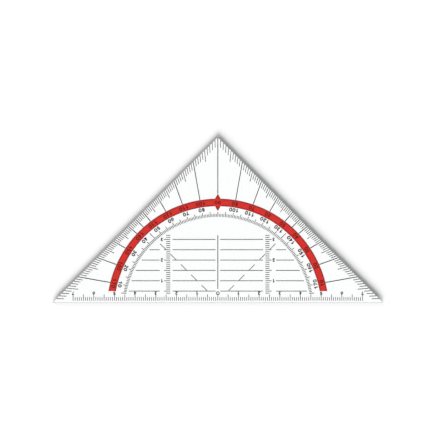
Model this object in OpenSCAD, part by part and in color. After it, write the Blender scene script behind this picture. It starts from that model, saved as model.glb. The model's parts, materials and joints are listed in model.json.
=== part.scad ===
// Protractor set square: a clear 45-90-45 degree plate with its scales stamped into the underside.
// X runs along the long edge, Y points to the right-angled corner, Z points up from the paper.
// The origin is the middle of the long edge, on the underside.

/* [Plate] */
// Length of the long edge
base_length = 160; // [140:1:240]
// Thickness of the plate
plate_thickness = 2; // [1.2:0.1:4]
// Radius of the three corners
corner_radius = 0.2; // [0.1:0.1:1.5]
// Distance from the long edge to the zero line of the scales
zero_height = 0.5; // [0.2:0.1:1]

/* [Print] */
// Depth of the stamped marks, which the ink fills flush with the underside
ink_depth = 0.05; // [0.04:0.01:0.2]
// Width of a printed line
line_width = 0.28; // [0.15:0.01:0.4]
// Width of the centre line and of the long lines at every tenth degree
ray_width = 0.37; // [0.15:0.01:0.5]
// Bare border between a short edge of the plate and the ticks along it
edge_border = 0.1; // [0.1:0.05:0.6]
// Bare border between the long edge of the plate and the ticks along it
base_border = 0.9; // [0.6:0.1:1.4]
// Bare gap between two prints that would touch
print_gap = 0.1; // [0.06:0.01:0.2]

/* [Numerals] */
// Height of a numeral of the protractor
digit_height = 1.85; // [1.6:0.05:2]
// Width of a numeral of the protractor
digit_width = 1.2; // [1.05:0.05:1.3]
// Width of the zero, which is rounder than the other numerals
zero_width = 1.4; // [1.2:0.05:1.45]
// Width of the stroke that draws a numeral of the protractor
digit_stroke = 0.42; // [0.2:0.01:0.46]
// Distance between neighbouring numerals of one number of the protractor
digit_pitch = 1.6; // [1.55:0.05:1.8]
// Height of a numeral of the straight scales
scale_digit_height = 1.65; // [1.2:0.05:1.8]
// Diameter of the zero of the long edge
zero_ring = 1.75; // [1.2:0.05:1.8]

/* [Straight scales] */
// Distance between neighbouring ticks of the straight scales
graduation = 1; // [1:1:2]
// Distance from the corner to the last tick of the long edge
base_margin = 10; // [8:0.5:20]
// Height of the ticks of the long edge above the zero line
base_tick = 2.1; // [1:0.1:2.4]
// Height of every fifth tick of the long edge above the zero line
base_long_tick = 3.4; // [2.5:0.1:4]
// How much longer the ticks of every fifth mark of the other scales are
tick_step = 1; // [0.6:0.1:1.5]
// Distance between the lines parallel to the long edge
line_pitch = 5; // [5:1:6]
// Distance from the centre line to the upright scales
height_scale_x = 23; // [18:0.5:25]
// Length of a short tick of the upright scales
height_tick = 2; // [1:0.1:3]
// Lowest mark of the upright scales
height_start = 4; // [3:1:6]
// Gap between the upright scales and their numerals
height_numeral_gap = 0.5; // [0.3:0.1:1]
// Gap between the upright scales and the parallel lines beside them
line_gap = 1.1; // [0.5:0.1:2]
// Length of a dash of the 45 degree lines, measured along the long edge
dash_length = 2.9; // [1:0.1:2.9]

/* [Protractor] */
// How far the centre of the curved prints lies below the zero line
arc_drop = 4; // [0:0.5:6]
// Distance from the short edges to the red band
band_margin = 5.35; // [5.2:0.05:9]
// Width of the red band
band_width = 3.6; // [2.4:0.1:4]
// Gap between the red band and the numerals inside it
arc_numeral_gap = 0.35; // [0.3:0.05:1]
// Gap between those numerals and the degree ticks
arc_tick_gap = 0.55; // [0.3:0.05:1]
// Length of the five degree ticks inside the band
arc_tick = 2.4; // [2:0.1:3]
// First degree tick inside the band
arc_start = 5; // [5:1:9]
// Gap between the 45 degree ticks, which are longer than the others, and the band
diagonal_tick_gap = 0.6; // [0.3:0.1:1.5]
// Gap between the degree ticks and the ends of the parallel lines
arc_line_gap = 0.95; // [0.5:0.05:2]
// Gap between the tip of the right angle marker and the 90 degree tick
marker_gap = 0.4; // [0.2:0.1:1]
// Width of the right angle marker
marker_width = 4.8; // [4.6:0.1:7]
// Length of the one degree ticks along the short edges, square to the edge
edge_tick = 2.55; // [1:0.05:3]
// Length of the five degree ticks along the short edges, square to the edge
edge_long_tick = 4.15; // [3.2:0.05:4.5]

/* [Hidden] */
$fn = 96;
numeral_facets = 32;

clear_plastic = [0.86, 0.93, 0.96, 0.35];
black_ink = [0.07, 0.07, 0.08];
red_ink = [0.86, 0.07, 0.06];

// Plate: half of the long edge is also the height of the triangle.
plate_height = base_length / 2;
apex_height = plate_height - zero_height;
cut_overshoot = 1;

// Numerals: half sizes of the stroke's centre line.
stroke_x = (digit_width - digit_stroke) / 2;
stroke_y = (digit_height - digit_stroke) / 2;
zero_x = (zero_width - digit_stroke) / 2;
crown_r = stroke_y * 0.5;
bowl_r = stroke_y * 0.56;
scale_digit_width = digit_width * scale_digit_height / digit_height;
number_turn = 180;

// Long edge: the numerals hang below the first parallel line, and their ticks end below them.
base_numeral_y = line_pitch - line_width / 2 - print_gap - scale_digit_height / 2;
base_number_tick = base_numeral_y - scale_digit_height / 2 - print_gap;
base_marks = floor((base_length / 2 - base_margin) / graduation);
marks_per_long_tick = 5;
marks_per_number = 10;
base_numbers = floor(base_marks / marks_per_number);
base_number_pitch = marks_per_number * graduation;

// Curved prints, from the short edges inwards.
band_outer = (apex_height + arc_drop) / sqrt(2) - band_margin;
band_inner = band_outer - band_width;
band_middle = (band_outer + band_inner) / 2;
band_foot = line_pitch;
arc_numeral_r = band_inner - arc_numeral_gap - digit_height / 2;
arc_outer = arc_numeral_r - digit_height / 2 - arc_tick_gap;
arc_inner = arc_outer - arc_tick;
arc_line_end = arc_inner - arc_line_gap;
marker_half_height = band_middle - arc_outer - marker_gap;
marker_y = band_middle - arc_drop;

// Upright scales: they end below the degree ticks.
height_long_tick = height_tick + tick_step;
height_outer_x = height_scale_x + height_long_tick;
height_numeral_x = height_outer_x + height_numeral_gap + scale_digit_width / 2;
height_numeral_edge = height_numeral_x + scale_digit_width / 2;
height_top = sqrt(arc_inner ^ 2 - height_outer_x ^ 2) - arc_drop;
height_marks = floor(height_top / graduation);
parallel_count = floor(height_top / line_pitch);
line_inner_start = line_gap;
line_inner_end = height_scale_x - line_gap;
line_outer_start = height_numeral_edge + line_gap / 2;

// Centre line: it starts above the first parallel line and stops short of the corner.
centre_start = line_pitch + line_gap;
centre_apex = apex_height - edge_border * sqrt(2) - ray_width / 2;

// Distance from the zero mark, at an angle, to the circle of radius r about the arcs' centre.
function arc_reach(r, angle) = sqrt(r ^ 2 - (arc_drop * cos(angle)) ^ 2) - arc_drop * sin(angle);

// Distance from the zero mark, at an angle, to the line that lies a depth inside the short edge.
function edge_reach(depth, angle) =
    (apex_height - depth * sqrt(2)) / (abs(cos(angle)) + sin(angle));

// Half of the chord that the circle of radius r cuts from the height y.
function arc_half_chord(r, y) = sqrt(max(0, r ^ 2 - (y + arc_drop) ^ 2));

function is_long_mark(i) = i % marks_per_long_tick == 0;

// Width of a number of the straight scales.
function scale_number_width(value) =
    ((len(str(value)) - 1) * digit_pitch + zero_width) * scale_digit_height / digit_height;

// Straight stroke between two points, square at its ends and longer by half its width there.
module bar(from, to) {
    run = to - from;
    translate(from)
        rotate(atan2(run.y, run.x))
            translate([-digit_stroke / 2, -digit_stroke / 2])
                square([norm(run) + digit_stroke, digit_stroke]);
}

// Closed round stroke.
module ring(centre, r) {
    translate(centre)
        difference() {
            circle(r + digit_stroke / 2, $fn = numeral_facets);
            circle(r - digit_stroke / 2, $fn = numeral_facets);
        }
}

// Round stroke from one angle to another, less than three quarters of a turn.
module bend(centre, r, from, to) {
    reach = 2 * (r + digit_stroke);
    fan = [for (i = [0 : 3]) from + (to - from) * i / 3];
    intersection() {
        ring(centre, r);
        translate(centre)
            polygon(concat([[0, 0]], [for (angle = fan) reach * [cos(angle), sin(angle)]]));
    }
}

// Two half rounds with a straight side on the left and on the right.
module numeral_0() {
    bow = stroke_y - zero_x;
    bend([0, bow], zero_x, 0, 180);
    bend([0, -bow], zero_x, 180, 360);
    for (side = [-1, 1])
        translate([side * zero_x, 0])
            square([digit_stroke, 2 * bow], center = true);
}

module numeral_1() {
    stem = stroke_x / 3;
    root = [stem, stroke_y] - digit_stroke / 2 * [1, 1];
    flag = stroke_x * 0.5;
    bar([stem, -stroke_y], [stem, stroke_y]);
    bar(root, root - [flag, flag]);
}

module numeral_2() {
    crown = [0, stroke_y - stroke_x];
    turn = -35;
    bend(crown, stroke_x, turn, 175);
    bar(crown + stroke_x * [cos(turn), sin(turn)], [-stroke_x, -stroke_y]);
    bar([-stroke_x, -stroke_y], [stroke_x, -stroke_y]);
}

module numeral_3() {
    bend([0, stroke_y - crown_r], crown_r, -105, 155);
    bend([0, bowl_r - stroke_y], bowl_r, -155, 105);
}

module numeral_4() {
    stem = stroke_x * 0.6;
    shelf = -stroke_y * 0.5;
    bar([stem, -stroke_y], [stem, stroke_y]);
    bar([stem, stroke_y] - digit_stroke / 4 * [1, 1], [-stroke_x, shelf] + digit_stroke / 4 * [1, 1]);
    bar([-stroke_x, shelf], [stroke_x, shelf]);
}

module numeral_5() {
    back = -stroke_x * 0.75;
    bend([0, bowl_r - stroke_y], bowl_r, -150, 118);
    bar([back, stroke_y], [back, bowl_r * 1.65 - stroke_y]);
    bar([back, stroke_y], [stroke_x * 0.9, stroke_y]);
}

// The bowl is as wide as the zero.
module numeral_6() {
    ring([0, zero_x - stroke_y], zero_x);
    bar([-zero_x * 0.7, zero_x * 1.6 - stroke_y], [stroke_x * 0.5, stroke_y]);
}

module numeral_7() {
    bar([-stroke_x, stroke_y], [stroke_x, stroke_y]);
    bar([stroke_x, stroke_y], [-stroke_x * 0.3, -stroke_y]);
}

module numeral_8() {
    ring([0, stroke_y - crown_r], crown_r);
    ring([0, bowl_r - stroke_y], bowl_r);
}

module numeral_9() {
    rotate(180) numeral_6();
}

module angular_numeral(digit) {
    if (digit == "1") numeral_1();
    if (digit == "2") numeral_2();
    if (digit == "3") numeral_3();
    if (digit == "4") numeral_4();
    if (digit == "5") numeral_5();
    if (digit == "6") numeral_6();
    if (digit == "7") numeral_7();
    if (digit == "8") numeral_8();
    if (digit == "9") numeral_9();
}

// One numeral. All but the zero have stroke ends, which are trimmed to the numeral's field. The bowl of
// the 6 and of the 9 needs a wider one.
module numeral(digit) {
    field_width = digit == "6" || digit == "9" ? zero_width + digit_stroke : digit_width;
    if (digit == "0")
        numeral_0();
    else
        intersection() {
            square([field_width, digit_height], center = true);
            angular_numeral(digit);
        }
}

// A whole number, centred on the origin.
module number(value) {
    digits = str(value);
    first = -(len(digits) - 1) / 2;
    for (i = [0 : len(digits) - 1])
        translate([(first + i) * digit_pitch, 0]) numeral(digits[i]);
}

// A number of the straight scales. Every number stands on its head, so that it reads right
// with the long edge held uppermost.
module scale_number(place, value) {
    translate(place) rotate(number_turn) scale(scale_digit_height / digit_height) number(value);
}

// A number of the protractor, on a circle about the arcs' centre, with its head to the zero mark.
module arc_number(r, angle, value) {
    rotate(angle)
        translate([arc_reach(r, angle), 0])
            rotate(number_turn - 90) number(value);
}

// Printed line between two points.
module line(from, to, width = line_width) {
    run = to - from;
    translate(from)
        rotate(atan2(run.y, run.x))
            translate([0, -width / 2])
                square([norm(run), width]);
}

// Printed line that points at the zero mark.
module ray(from, to, angle, width = line_width) {
    rotate(angle)
        translate([from, -width / 2])
            square([to - from, width]);
}

module plate_outline() {
    half = base_length / 2;
    side = corner_radius * (1 + sqrt(2));
    foot = corner_radius * sqrt(2) / 2;
    apex_y = plate_height - corner_radius * sqrt(2);
    union() {
        polygon([
            [-half + side, 0], [half - side, 0],
            [half - side + foot, corner_radius + foot], [foot, apex_y + foot],
            [-foot, apex_y + foot], [-half + side - foot, corner_radius + foot]
        ]);
        translate([-half + side, corner_radius]) circle(corner_radius);
        translate([half - side, corner_radius]) circle(corner_radius);
        translate([0, apex_y]) circle(corner_radius);
    }
}

module base_tick_print() {
    for (i = [-base_marks : base_marks]) {
        top = i % marks_per_number == 0 ? base_number_tick
            : is_long_mark(i) ? base_long_tick : base_tick;
        line([i * graduation, base_border - zero_height], [i * graduation, top]);
    }
}

// The zero of the long edge is a ring that stands on its tick, where the parallel line has its gap.
module zero_ring_print() {
    stroke = digit_stroke * scale_digit_height / digit_height;
    translate([0, base_number_tick + print_gap + zero_ring / 2])
        difference() {
            circle(d = zero_ring, $fn = numeral_facets);
            circle(d = zero_ring - 2 * stroke, $fn = numeral_facets);
        }
}

module base_numeral_print() {
    zero_ring_print();
    for (i = [1 : base_numbers], side = [-1, 1])
        scale_number([side * i * base_number_pitch, base_numeral_y], i * graduation);
}

// The fields of the long edge's numbers, with a bare gap all round.
module base_numeral_fields() {
    for (i = [1 : base_numbers], side = [-1, 1]) {
        field = [scale_number_width(i * graduation), scale_digit_height];
        translate([side * i * base_number_pitch, base_numeral_y])
            square(field + 2 * print_gap * [1, 1], center = true);
    }
}

module parallel_line_print(width = line_width) {
    for (i = [1 : parallel_count]) {
        y = i * line_pitch;
        outer_end = arc_half_chord(arc_line_end, y);
        for (side = [-1, 1]) {
            line([side * line_inner_start, y], [side * line_inner_end, y], width);
            if (outer_end > line_outer_start + line_width)
                line([side * line_outer_start, y], [side * outer_end, y], width);
        }
    }
}

module height_tick_print(width = line_width) {
    for (i = [ceil(height_start / graduation) : height_marks]) {
        tick = is_long_mark(i) ? height_long_tick : height_tick;
        line([height_scale_x, i * graduation], [height_scale_x + tick, i * graduation], width);
    }
}

// Numbers of an upright scale, as many as stay clear of the degree ticks.
module height_numeral_print(side) {
    for (i = [1 : floor(height_marks / marks_per_number)]) {
        y = i * marks_per_number * graduation;
        if (arc_half_chord(arc_inner, y + scale_digit_height / 2) > height_numeral_edge)
            scale_number([side * height_numeral_x, y], i * graduation);
    }
}

module centre_line_print() {
    line([0, centre_start], [0, height_marks * graduation], ray_width);
    line([0, marker_y + marker_half_height + print_gap], [0, centre_apex], ray_width);
}

// Dashes of a 45 degree line, each from one parallel line towards the next, clear of what they cross.
module diagonal_dash_print() {
    cleared = line_width + 2 * print_gap;
    difference() {
        for (i = [1 : parallel_count]) {
            start = i * line_pitch;
            end = start + dash_length;
            if (norm([end, end + arc_drop]) < arc_line_end)
                line([start, start], [end, end]);
        }
        parallel_line_print(cleared);
        height_tick_print(cleared);
    }
}

// Degree ticks inside the band, clear of the long edge's ticks and numbers.
module arc_tick_print() {
    difference() {
        for (angle = [arc_start : 180 - arc_start]) {
            is_diagonal = abs(angle - 90) == 45;
            outer = is_diagonal ? band_inner - diagonal_tick_gap
                : angle % 5 == 0 ? arc_outer : arc_outer - tick_step;
            ray(arc_reach(arc_inner, angle), arc_reach(outer, angle), angle);
        }
        base_numeral_fields();
        translate([-arc_outer, 0]) square([2 * arc_outer, base_long_tick + print_gap]);
    }
}

module arc_numeral_print() {
    for (angle = [10 : 10 : 170])
        if (angle != 90) arc_number(arc_numeral_r, angle, 180 - angle);
}

module marker_outline() {
    translate([0, marker_y])
        polygon([
            [marker_width / 2, 0], [0, marker_half_height],
            [-marker_width / 2, 0], [0, -marker_half_height]
        ]);
}

module band_outline() {
    intersection() {
        translate([0, -arc_drop])
            difference() {
                circle(band_outer);
                circle(band_inner);
            }
        translate([-band_outer, band_foot]) square([2 * band_outer, band_outer]);
    }
}

module band_numeral_print() {
    for (angle = [10 : 10 : 170]) arc_number(band_middle, angle, angle);
}

module band_print() {
    difference() {
        band_outline();
        marker_outline();
        band_numeral_print();
    }
}

module marker_print() {
    difference() {
        marker_outline();
        arc_number(band_middle, 90, 90);
    }
}

// A long line stands at every tenth degree and at 45 degrees.
function has_long_ray(angle) = angle % 10 == 0 || angle == 45;

// What lies above the zero line and inside the bare border of the short edges.
module printed_triangle() {
    reach = apex_height - edge_border * sqrt(2);
    polygon([[-reach, 0], [reach, 0], [0, reach]]);
}

module edge_tick_print() {
    intersection() {
        for (angle = [1 : 89])
            if (!has_long_ray(angle)) {
                tick = angle % 5 == 0 ? edge_long_tick : edge_tick;
                ray(edge_reach(edge_border + tick, angle), edge_reach(0, angle), angle);
            }
        printed_triangle();
    }
}

module degree_ray_print() {
    intersection() {
        for (angle = [10 : 5 : 80])
            if (has_long_ray(angle))
                for (turn = [angle, 180 - angle])
                    ray(arc_reach(band_outer + print_gap, turn), edge_reach(0, turn), turn, ray_width);
        printed_triangle();
    }
}

module on_the_left() {
    mirror([1, 0]) children();
}

// Everything that is printed, as the marks that are stamped into the plate.
module whole_print() {
    base_tick_print();
    base_numeral_print();
    parallel_line_print();
    height_tick_print();
    on_the_left() height_tick_print();
    height_numeral_print(1);
    height_numeral_print(-1);
    centre_line_print();
    diagonal_dash_print();
    on_the_left() diagonal_dash_print();
    arc_tick_print();
    arc_numeral_print();
    band_outline();
    marker_outline();
    edge_tick_print();
    on_the_left() edge_tick_print();
    degree_ray_print();
}

module at_zero_line() {
    translate([0, zero_height]) children();
}

// A coat of ink that fills its mark flush with the underside.
module ink(tone) {
    color(tone) linear_extrude(ink_depth) at_zero_line() children();
}

module clear_plate() {
    color(clear_plastic)
        difference() {
            linear_extrude(plate_thickness) plate_outline();
            translate([0, 0, -cut_overshoot])
                linear_extrude(cut_overshoot + ink_depth) at_zero_line() whole_print();
        }
}

module base_scale_ticks() { ink(black_ink) base_tick_print(); }
module base_scale_numerals() { ink(black_ink) base_numeral_print(); }
module parallel_lines() { ink(black_ink) parallel_line_print(); }
module left_height_ticks() { ink(black_ink) on_the_left() height_tick_print(); }
module right_height_ticks() { ink(black_ink) height_tick_print(); }
module left_height_numerals() { ink(black_ink) height_numeral_print(-1); }
module right_height_numerals() { ink(black_ink) height_numeral_print(1); }
module centre_line() { ink(black_ink) centre_line_print(); }
module left_diagonal_dashes() { ink(black_ink) on_the_left() diagonal_dash_print(); }
module right_diagonal_dashes() { ink(black_ink) diagonal_dash_print(); }
module arc_degree_ticks() { ink(black_ink) arc_tick_print(); }
module arc_numerals() { ink(black_ink) arc_numeral_print(); }
module degree_band() { ink(red_ink) band_print(); }
module right_angle_marker() { ink(red_ink) marker_print(); }
module band_numerals() { ink(black_ink) band_numeral_print(); }
module left_edge_degree_ticks() { ink(black_ink) on_the_left() edge_tick_print(); }
module right_edge_degree_ticks() { ink(black_ink) edge_tick_print(); }
module degree_rays() { ink(black_ink) degree_ray_print(); }

clear_plate();
base_scale_ticks();
base_scale_numerals();
parallel_lines();
left_height_ticks();
right_height_ticks();
left_height_numerals();
right_height_numerals();
centre_line();
left_diagonal_dashes();
right_diagonal_dashes();
arc_degree_ticks();
arc_numerals();
degree_band();
right_angle_marker();
band_numerals();
left_edge_degree_ticks();
right_edge_degree_ticks();
degree_rays();
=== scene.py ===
import json
import math

import bmesh
import bpy
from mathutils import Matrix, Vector


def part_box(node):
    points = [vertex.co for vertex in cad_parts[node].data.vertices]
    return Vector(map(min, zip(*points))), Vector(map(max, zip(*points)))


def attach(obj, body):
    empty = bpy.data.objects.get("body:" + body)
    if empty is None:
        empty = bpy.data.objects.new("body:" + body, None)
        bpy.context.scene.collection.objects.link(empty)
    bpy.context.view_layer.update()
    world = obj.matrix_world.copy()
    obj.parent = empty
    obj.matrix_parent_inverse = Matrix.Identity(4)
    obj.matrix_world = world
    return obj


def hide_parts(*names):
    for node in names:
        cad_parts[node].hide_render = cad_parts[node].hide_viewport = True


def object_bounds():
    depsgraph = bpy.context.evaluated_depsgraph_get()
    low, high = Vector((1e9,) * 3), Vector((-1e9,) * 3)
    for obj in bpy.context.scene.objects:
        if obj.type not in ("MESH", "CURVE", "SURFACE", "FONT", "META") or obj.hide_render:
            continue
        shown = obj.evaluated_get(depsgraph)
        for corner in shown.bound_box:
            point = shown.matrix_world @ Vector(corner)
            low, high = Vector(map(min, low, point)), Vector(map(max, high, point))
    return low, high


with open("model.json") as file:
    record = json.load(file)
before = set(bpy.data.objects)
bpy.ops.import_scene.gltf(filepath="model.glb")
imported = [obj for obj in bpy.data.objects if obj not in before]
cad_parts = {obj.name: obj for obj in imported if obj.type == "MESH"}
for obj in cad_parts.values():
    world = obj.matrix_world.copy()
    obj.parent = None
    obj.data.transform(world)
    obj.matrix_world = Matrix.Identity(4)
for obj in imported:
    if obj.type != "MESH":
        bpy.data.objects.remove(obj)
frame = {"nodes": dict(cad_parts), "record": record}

cad_low, cad_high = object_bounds()

# Clear plate
# One right-angled triangle of clear plastic, injection moulded in a polished mould, so both faces are
# glossy. Its walls are satin, with a painted grey shade, and its rounded rims carry a darker painted
# shade that stands in for the dark line of shade along the edges. The print is on its underside.
plate_low, plate_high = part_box("clear_plate")
corner_round = 0.0002
corner_steps = 6
top_round = 0.00015
foot_round = 0.0001
rim_steps = 4
print_proud = 0.00001
acute_corner = math.radians(45)
plate_bottom = plate_low.z + print_proud
plate_top = plate_high.z
apex_y = plate_high.y + corner_round * (math.sqrt(2) - 1)
largest_rounding = corner_round * apex_y


def pick_edges(piece, wanted):
    """Selects, in edit mode, the edges whose two end points are wanted."""
    bpy.ops.object.mode_set(mode="EDIT")
    bpy.ops.mesh.select_mode(type="EDGE")
    bpy.ops.mesh.select_all(action="DESELECT")
    shape = bmesh.from_edit_mesh(piece.data)
    for edge in shape.edges:
        edge.select_set(wanted(edge.verts[0].co, edge.verts[1].co))
    bmesh.update_edit_mesh(piece.data)


def is_upright(a, b):
    return abs(a.z - b.z) > (plate_top - plate_bottom) / 2


def is_rim_at(height):
    """The test for an edge that lies flat at one height."""
    return lambda a, b: abs(a.z - height) + abs(b.z - height) < print_proud


# A cylinder with three sides and a radius of 1 is a triangle 1.5 high, with half its width sin 60 degrees.
bpy.ops.object.select_all(action="DESELECT")
bpy.ops.mesh.primitive_cylinder_add(vertices=3, radius=1, depth=1)
plate = bpy.context.object
plate.name = "moulded_plate"
plate.location = (0, apex_y / 3, (plate_bottom + plate_top) / 2)
plate.scale = (apex_y / math.sin(math.radians(60)), apex_y / 1.5, plate_top - plate_bottom)
bpy.ops.object.transform_apply(location=True, rotation=True, scale=True)
pick_edges(plate, lambda a, b: is_upright(a, b) and a.y < apex_y / 2)
acute_offset = corner_round / math.tan(acute_corner / 2)
bpy.ops.mesh.bevel(offset=acute_offset, segments=corner_steps, affect="EDGES")
pick_edges(plate, lambda a, b: is_upright(a, b) and a.y > apex_y / 2)
bpy.ops.mesh.bevel(offset=corner_round, segments=corner_steps, affect="EDGES")
for height, rounding in ((plate_top, top_round), (plate_bottom, foot_round)):
    pick_edges(plate, is_rim_at(height))
    bpy.ops.mesh.bevel(offset=rounding, segments=rim_steps, affect="EDGES")
bpy.ops.object.mode_set(mode="OBJECT")
for face in plate.data.polygons:
    face.use_smooth = face.area < largest_rounding


def put(tree, kind, inputs=None, **settings):
    """Adds a node. An input takes a value, or a link where an output socket is given."""
    node = tree.nodes.new(kind)
    for name, value in settings.items():
        setattr(node, name, value)
    for key, value in (inputs or {}).items():
        if isinstance(value, bpy.types.NodeSocket):
            tree.links.new(value, node.inputs[key])
        else:
            node.inputs[key].default_value = value
    return node


def maths(tree, operation, *values, clamp=False):
    """The result of one sum on values or output sockets."""
    inputs = dict(enumerate(values))
    return put(tree, "ShaderNodeMath", inputs, operation=operation, use_clamp=clamp).outputs["Value"]


def blend_colours(tree, factor, first, second):
    """The colour between two others. A colour mix node holds its colours in sockets 6 and 7."""
    inputs = {0: factor, 6: first, 7: second}
    return put(tree, "ShaderNodeMix", inputs, data_type="RGBA").outputs[2]


def new_material(name):
    """An empty material and its node tree."""
    material = bpy.data.materials.new(name)
    material.use_nodes = True
    material.node_tree.nodes.clear()
    return material, material.node_tree


def dress(piece, *materials):
    piece.data.materials.clear()
    for material in materials:
        piece.data.materials.append(material)


# Lamps shine straight through the faces, while the light that meets a wall from outside is mostly
# turned back by the plastic, so the walls throw a shadow and the print lies in full light. Near the two
# sharp corners it comes in through the long wall and goes straight on, so the shadow thins out there.
plastic_tint = (0.985, 0.992, 0.995, 1)
# The rims' grey is painted shade: it darkens the rims into the dark line of shade along the plate's edges.
rim_painted_shade = (0.45, 0.46, 0.47, 1)
rim_dullness = 0.15
rim_clearness = 0.5
# The walls' grey is painted shade on satin plastic. Their dullness is the real satin finish.
satin_painted_shade = (0.62, 0.635, 0.64, 1)
satin_dullness = 0.35
satin_clearness = 0.55
plastic_ior = 1.49
cloud_scale = 260
polish_least = 0.02
polish_most = 0.06
flow_scale = 45
flow_strength = 0.1
flow_height = 0.00002
face_level = 0.99
wall_level = 0.7
upright_level = 0.01
wall_shade = (0.01, 0.011, 0.012, 1)
corner_reach = 0.003
corner_share = 0.45


def plastic_material(name, tint, dullness, clearness):
    """Moulded plastic with the marks of its mould, more or less dull and clear. On rims and walls the tint
    is painted grey shade.
    """
    material, tree = new_material(name)
    place = put(tree, "ShaderNodeTexCoord").outputs["Object"]
    cloud = put(tree, "ShaderNodeTexNoise", {"Vector": place, "Scale": cloud_scale, "Detail": 3})
    flow = put(tree, "ShaderNodeTexNoise", {"Vector": place, "Scale": flow_scale, "Detail": 1})
    polish = put(tree, "ShaderNodeMapRange", {
        "Value": cloud.outputs["Fac"],
        "To Min": polish_least,
        "To Max": polish_most,
    })
    swell = put(tree, "ShaderNodeBump", {
        "Height": flow.outputs["Fac"],
        "Strength": flow_strength,
        "Distance": flow_height,
    })
    plastic = put(tree, "ShaderNodeBsdfPrincipled", {
        "Base Color": tint,
        "Roughness": maths(tree, "ADD", polish.outputs["Result"], dullness),
        "IOR": plastic_ior,
        "Transmission Weight": clearness,
        "Normal": swell.outputs["Normal"],
    })
    surface = put(tree, "ShaderNodeNewGeometry")
    facing = put(tree, "ShaderNodeSeparateXYZ", {"Vector": surface.outputs["True Normal"]})
    level = maths(tree, "ABSOLUTE", facing.outputs["Z"])
    is_wall = maths(tree, "LESS_THAN", level, wall_level)
    is_outer_wall = maths(tree, "SUBTRACT", is_wall, surface.outputs["Backfacing"], clamp=True)
    off_corner = put(tree, "ShaderNodeMapRange", {
        "Value": put(tree, "ShaderNodeSeparateXYZ", {"Vector": place}).outputs["Y"],
        "From Max": corner_reach,
        "To Min": corner_share,
    })
    is_long_wall = maths(tree, "LESS_THAN", facing.outputs["Y"], 0)
    share = maths(tree, "MAXIMUM", is_long_wall, off_corner.outputs["Result"])
    turned_back = maths(tree, "MULTIPLY", is_outer_wall, share)
    passed = put(tree, "ShaderNodeBsdfTransparent", {
        "Color": blend_colours(tree, turned_back, (1, 1, 1, 1), wall_shade),
    })
    rays = put(tree, "ShaderNodeLightPath").outputs
    lights_floor = maths(tree, "ADD", rays["Is Shadow Ray"], rays["Is Diffuse Ray"], clamp=True)
    mixed = put(tree, "ShaderNodeMixShader", {
        "Fac": lights_floor,
        1: plastic.outputs["BSDF"],
        2: passed.outputs["BSDF"],
    })
    put(tree, "ShaderNodeOutputMaterial", {"Surface": mixed.outputs["Shader"]})
    return material


clear_plastic = plastic_material("clear_plastic", plastic_tint, 0, 1)
rim_plastic_painted_shade = plastic_material("rim_plastic_painted_shade", rim_painted_shade, rim_dullness, rim_clearness)
satin_plastic_painted_shade = plastic_material("satin_plastic_painted_shade", satin_painted_shade, satin_dullness, satin_clearness)
dress(plate, clear_plastic, rim_plastic_painted_shade, satin_plastic_painted_shade)
# The rims and walls get the painted grey shades, and the flat faces get the clear plastic.
for face in plate.data.polygons:
    is_rim_or_wall = abs(face.normal.z) < face_level
    is_upright_wall = abs(face.normal.z) < upright_level
    face.material_index = is_rim_or_wall + is_upright_wall
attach(plate, "root")
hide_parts("clear_plate")

# Black print
# The scales, lines and numerals are coats of black ink, pressed with a hot die into shallow marks of the
# underside, so the ink is matt and a little uneven in density. The red tints the numerals that lie in it.
black_full = (0.006, 0.006, 0.007, 1)
black_thin = (0.016, 0.016, 0.017, 1)
overprint_full = (0.12, 0.004, 0.003, 1)
overprint_thin = (0.15, 0.006, 0.005, 1)
grain_scale = 8000
grain_strength = 0.2
grain_height = 0.00001
patch_scale = 600
noise_share = 0.5
thin_from = 0.4
thin_to = 0.7
matt_least = 0.4
matt_most = 0.65
ink_shine = 0.1
coat = bpy.data.node_groups.new("stamped_coat", "ShaderNodeTree")
for socket in ("Full Ink", "Thin Ink"):
    coat.interface.new_socket(socket, in_out="INPUT", socket_type="NodeSocketColor")
coat.interface.new_socket("Color", in_out="OUTPUT", socket_type="NodeSocketColor")
for socket in ("Roughness", "Height"):
    coat.interface.new_socket(socket, in_out="OUTPUT", socket_type="NodeSocketFloat")
inks = put(coat, "NodeGroupInput").outputs
place = put(coat, "ShaderNodeTexCoord").outputs["Object"]
fine_noise = put(coat, "ShaderNodeTexNoise", {"Vector": place, "Scale": grain_scale, "Detail": 2})
broad_noise = put(coat, "ShaderNodeTexNoise", {"Vector": place, "Scale": patch_scale, "Detail": 2})
grain = fine_noise.outputs["Fac"]
noise_sum = maths(coat, "ADD", grain, broad_noise.outputs["Fac"])
unevenness = maths(coat, "MULTIPLY", noise_sum, noise_share)
thin = put(coat, "ShaderNodeMapRange", {"Value": unevenness, "From Min": thin_from, "From Max": thin_to})
matt = put(coat, "ShaderNodeMapRange", {"Value": grain, "To Min": matt_least, "To Max": matt_most})
put(coat, "NodeGroupOutput", {
    "Color": blend_colours(coat, thin.outputs["Result"], inks["Full Ink"], inks["Thin Ink"]),
    "Roughness": matt.outputs["Result"],
    "Height": grain,
})


def ink_material(name, full_ink, thin_ink, heavy_ink=None, heavy_mask=None):
    """A stamped coat of one colour. It is bonded to the plastic, so it hardly shines."""
    material, tree = new_material(name)
    print_coat = put(tree, "ShaderNodeGroup", node_tree=coat)
    print_coat.inputs["Full Ink"].default_value = full_ink
    print_coat.inputs["Thin Ink"].default_value = thin_ink
    tone = print_coat.outputs["Color"]
    if heavy_mask:
        tone = blend_colours(tree, heavy_mask(tree), tone, heavy_ink)
    bump = put(tree, "ShaderNodeBump", {
        "Height": print_coat.outputs["Height"],
        "Strength": grain_strength,
        "Distance": grain_height,
    })
    ink = put(tree, "ShaderNodeBsdfPrincipled", {
        "Base Color": tone,
        "Roughness": print_coat.outputs["Roughness"],
        "Specular IOR Level": ink_shine,
        "Normal": bump.outputs["Normal"],
    })
    put(tree, "ShaderNodeOutputMaterial", {"Surface": ink.outputs["BSDF"]})
    return material


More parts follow.
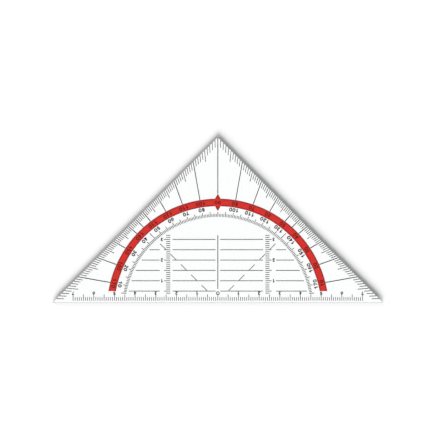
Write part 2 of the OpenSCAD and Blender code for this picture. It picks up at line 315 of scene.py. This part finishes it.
def print_nodes(slot):
    """The CAD nodes that are printed in the ink of one slot."""
    parts = frame["record"]["subparts"]
    return [frame["nodes"][part["node"]] for part in parts if part["material_slot"] == slot]


black_ink = ink_material("black_ink", black_full, black_thin)
for marks in print_nodes("black_ink"):
    dress(marks, black_ink)
overprint_ink = ink_material("overprint_ink", overprint_full, overprint_thin)
dress(frame["nodes"]["band_numerals"], overprint_ink)

# Red print
# The degree band and the lozenge at the right angle are coats of red ink, stamped with the numerals left
# open. The die squeezes ink to the band's two round edges and to the lozenge's two tips, where the coat
# is heavier and darker.
red_full = (0.69, 0.024, 0.018, 1)
red_thin = (0.75, 0.034, 0.026, 1)
red_heavy = (0.2, 0.016, 0.013, 1)
tip_heavy = (0.1, 0.012, 0.01, 1)
band_width = 0.0036
squeeze_width = 0.0009
tip_start = 0.35

# The band's outer circle goes through the top of the band's box and the two lower corners of the box.
band_low, band_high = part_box("degree_band")
band_centre_y = (band_high.y ** 2 - band_high.x ** 2 - band_low.y ** 2) / (2 * (band_high.y - band_low.y))
band_middle = band_high.y - band_centre_y - band_width / 2
lozenge_low, lozenge_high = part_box("right_angle_marker")
lozenge_middle = (lozenge_low.y + lozenge_high.y) / 2
lozenge_reach = (lozenge_high.y - lozenge_low.y) / 2


def squeezed_edges(tree):
    """How near a point of the band lies to one of its round edges, from 0 to 1."""
    place = put(tree, "ShaderNodeTexCoord").outputs["Object"]
    spoke = put(tree, "ShaderNodeVectorMath", {0: place, 1: (0, band_centre_y, 0)}, operation="SUBTRACT")
    reach = put(tree, "ShaderNodeVectorMath", {0: spoke.outputs["Vector"]}, operation="LENGTH")
    off_middle = maths(tree, "ABSOLUTE", maths(tree, "SUBTRACT", reach.outputs["Value"], band_middle))
    near_edge = put(tree, "ShaderNodeMapRange", {
        "Value": off_middle,
        "From Min": band_width / 2 - squeeze_width,
        "From Max": band_width / 2,
    })
    return near_edge.outputs["Result"]


def squeezed_tips(tree):
    """How near a point of the lozenge lies to one of its two tips, from 0 to 1."""
    place = put(tree, "ShaderNodeTexCoord").outputs["Object"]
    along = put(tree, "ShaderNodeSeparateXYZ", {"Vector": place}).outputs["Y"]
    near_tip = put(tree, "ShaderNodeMapRange", {
        "Value": maths(tree, "ABSOLUTE", maths(tree, "SUBTRACT", along, lozenge_middle)),
        "From Min": lozenge_reach * tip_start,
        "From Max": lozenge_reach,
    })
    return near_tip.outputs["Result"]


red_ink = ink_material("red_ink", red_full, red_thin, tip_heavy, squeezed_tips)
red_band_ink = ink_material("red_band_ink", red_full, red_thin, red_heavy, squeezed_edges)
dress(frame["nodes"]["right_angle_marker"], red_ink)
dress(frame["nodes"]["degree_band"], red_band_ink)

# Floor
# A sheet of white paper under the plate, as on a drawing board. Seen from below it is clear, so that
# the underside with its print shows, and the print that lies on it is lit from below.
floor_gap = 0.00002
touch_reach = floor_gap * 4
floor_size = 8
paper_white = (0.95, 0.95, 0.95, 1)
paper_glow = 0.08
bpy.ops.mesh.primitive_plane_add(size=floor_size, location=(0, 0, cad_low.z - floor_gap))
floor = bpy.context.object
floor.name = "paper_floor"
paper, tree = new_material("white_paper")
rays = put(tree, "ShaderNodeLightPath").outputs
seen = maths(tree, "ADD", rays["Is Camera Ray"], rays["Is Glossy Ray"], clamp=True)
seen = maths(tree, "ADD", seen, rays["Is Transmission Ray"], clamp=True)
lights = maths(tree, "ADD", rays["Is Shadow Ray"], rays["Is Diffuse Ray"], clamp=True)
touches = maths(tree, "LESS_THAN", rays["Ray Length"], touch_reach)
glow = put(tree, "ShaderNodeEmission", {
    "Color": (1, 1, 1, 1),
    "Strength": maths(tree, "MULTIPLY", seen, paper_glow),
})
matt_paper = put(tree, "ShaderNodeBsdfDiffuse", {"Color": paper_white})
lit = put(tree, "ShaderNodeAddShader", {0: matt_paper.outputs["BSDF"], 1: glow.outputs["Emission"]})
clear = put(tree, "ShaderNodeBsdfTransparent")
below = put(tree, "ShaderNodeNewGeometry").outputs["Backfacing"]
sided = put(tree, "ShaderNodeMixShader", {
    "Fac": maths(tree, "MULTIPLY_ADD", lights, touches, below, clamp=True),
    1: lit.outputs["Shader"],
    2: clear.outputs["BSDF"],
})
put(tree, "ShaderNodeOutputMaterial", {"Surface": sided.outputs["Shader"]})
dress(floor, paper)

# Light
# One broad soft lamp stands low behind the long edge, a little to the left, in a white room that is
# lightest at its window on the left. What the plastic mirrors of the room is dimmer, and its ceiling is
# unlit, so that little white lies over the print.
lamp_height = math.radians(32)
lamp_turn = math.radians(8)
lamp_spread = math.radians(36)
lamp_share = 0.55
room_share = 0.45
window_turn = math.radians(60)
ceiling_rim = 0.6
ceiling_middle = 0.95
ceiling_level = 0.2
horizon_level = 0.55

# The lamp's energy is what a level white sheet needs to show the lamp's share of full white.
bpy.ops.object.light_add(type="SUN")
lamp = bpy.context.object
lamp.name = "soft_lamp"
lamp.data.energy = lamp_share * math.pi / math.sin(lamp_height)
lamp.data.angle = lamp_spread
lamp.visible_glossy = False
lamp.visible_transmission = False
towards_lamp = Vector((
    -math.sin(lamp_turn) * math.cos(lamp_height),
    -math.cos(lamp_turn) * math.cos(lamp_height),
    math.sin(lamp_height),
))
lamp.rotation_euler = towards_lamp.to_track_quat("Z", "Y").to_euler()
room = bpy.data.worlds.new("white_room")
room.use_nodes = True
tree = room.node_tree
tree.nodes.clear()
rays = put(tree, "ShaderNodeLightPath").outputs
seen = maths(tree, "ADD", rays["Is Camera Ray"], rays["Is Transmission Ray"], clamp=True)
towards = put(tree, "ShaderNodeTexCoord").outputs["Generated"]
height = put(tree, "ShaderNodeSeparateXYZ", {"Vector": towards}).outputs["Z"]
seen = maths(tree, "ADD", seen, maths(tree, "LESS_THAN", height, 0), clamp=True)
window = (-math.sin(window_turn), -math.cos(window_turn), 0)
facing = put(tree, "ShaderNodeVectorMath", {0: towards, 1: window}, operation="DOT_PRODUCT")
room_light = maths(tree, "MULTIPLY_ADD", facing.outputs["Value"], room_share, room_share)
level = put(tree, "ShaderNodeMapRange", {"Value": seen, "To Min": room_light, "To Max": 1})
mirrored_room = put(tree, "ShaderNodeMapRange", {
    "Value": height,
    "From Min": ceiling_rim,
    "From Max": ceiling_middle,
    "To Min": horizon_level,
    "To Max": ceiling_level,
})
mirrored = maths(tree, "SUBTRACT", rays["Is Glossy Ray"], rays["Is Transmission Ray"], clamp=True)
strength = put(tree, "ShaderNodeMapRange", {
    "Value": mirrored,
    "To Min": level.outputs["Result"],
    "To Max": mirrored_room.outputs["Result"],
})
air = put(tree, "ShaderNodeBackground", {"Color": (1, 1, 1, 1), "Strength": strength.outputs["Result"]})
put(tree, "ShaderNodeOutputWorld", {"Surface": air.outputs["Background"]})
bpy.context.scene.world = room

# Camera
# It looks straight down with a long lens, the right-angled corner at the top of the picture.
picture_width = 0.2115
picture_centre = Vector((0.00034, 0.04065, 0))
lens = 200
sensor = 36
bpy.ops.object.camera_add(location=picture_centre + Vector((0, 0, picture_width * lens / sensor)))
camera = bpy.context.object
camera.name = "camera"
camera.rotation_euler = (0, 0, 0)
camera.data.lens = lens
camera.data.sensor_width = sensor
bpy.context.scene.camera = camera
bpy.context.scene.view_settings.view_transform = "Standard"
